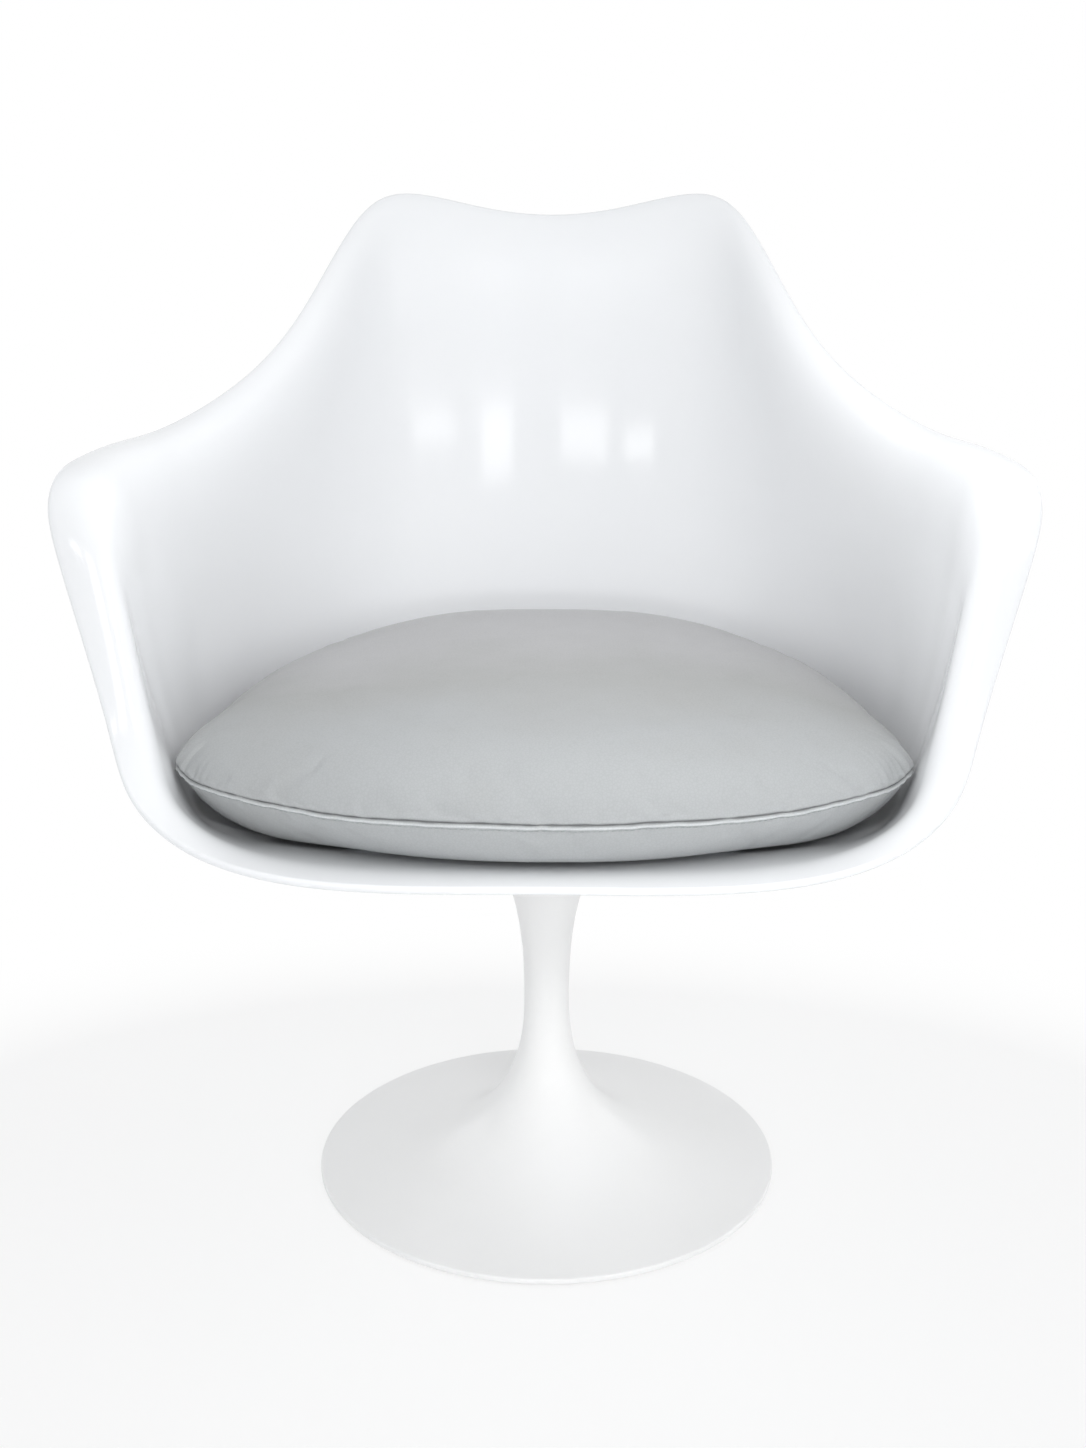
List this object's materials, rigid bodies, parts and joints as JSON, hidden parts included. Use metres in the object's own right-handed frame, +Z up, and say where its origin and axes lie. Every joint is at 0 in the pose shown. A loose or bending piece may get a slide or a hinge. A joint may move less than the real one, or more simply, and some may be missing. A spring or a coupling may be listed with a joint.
{
  "type": "pedestal armchair",
  "caption": "Moulded bucket shell with flared arm lips that swivels on a waisted trumpet pedestal, with a loose crowned leather cushion held by hook-and-loop discs.",
  "frame": {"origin": "on the floor, on the swivel axis, which is the middle of the chair's footprint", "axes": "+Z up, the sitter faces -Y, +X to the right of someone who looks along +Y"},
  "size_m": [0.6998, 0.5931, 0.8174],
  "materials": {
    "shell": "high gloss white gelcoat",
    "casting": "smooth white enamel, half gloss",
    "glide": "matt",
    "bush": "matt",
    "hub": "as cast",
    "steel": "zinc plated",
    "brass": "machined",
    "disc": "woven hook-and-loop tape",
    "leather": "smooth grey-green leather with a fine grain",
    "foam": "open foam"
  },
  "bodies": {
    "base": {"base_casting": "casting", "floor_glide_ring": "glide", "upper_bush": "bush", "lower_bush": "bush", "thrust_washer": "bush"},
    "seat": {"seat_shell": "shell", "seat_hub": "hub", "swivel_spindle": "steel", "retaining_washer": "steel", "retaining_ring": "steel", "hub_screw_1": "steel", "hub_screw_2": "steel", "hub_screw_3": "steel", "hub_screw_4": "steel", "hub_washer_1": "steel", "hub_washer_2": "steel", "hub_washer_3": "steel", "hub_washer_4": "steel", "shell_insert_1": "brass", "shell_insert_2": "brass", "shell_insert_3": "brass", "shell_insert_4": "brass", "hook_disc_front_left": "disc", "hook_disc_front_right": "disc", "hook_disc_back_left": "disc", "hook_disc_back_right": "disc"},
    "cushion": {"cushion_foam_core": "foam", "cushion_top_panel": "leather", "cushion_under_panel": "leather", "loop_disc_front_left": "disc", "loop_disc_front_right": "disc", "loop_disc_back_left": "disc", "loop_disc_back_right": "disc"}
  },
  "joints": [
    {"name": "swivel", "type": "hinge", "parent": "base", "child": "seat", "pos_m": [0, 0, 0.312], "axis": [0, 0, 1], "continuous": true},
    {"name": "cushion_lift", "type": "slide", "parent": "seat", "child": "cushion", "axis": [0, 0, 1], "range_m": [0, 0.12]}
  ]
}
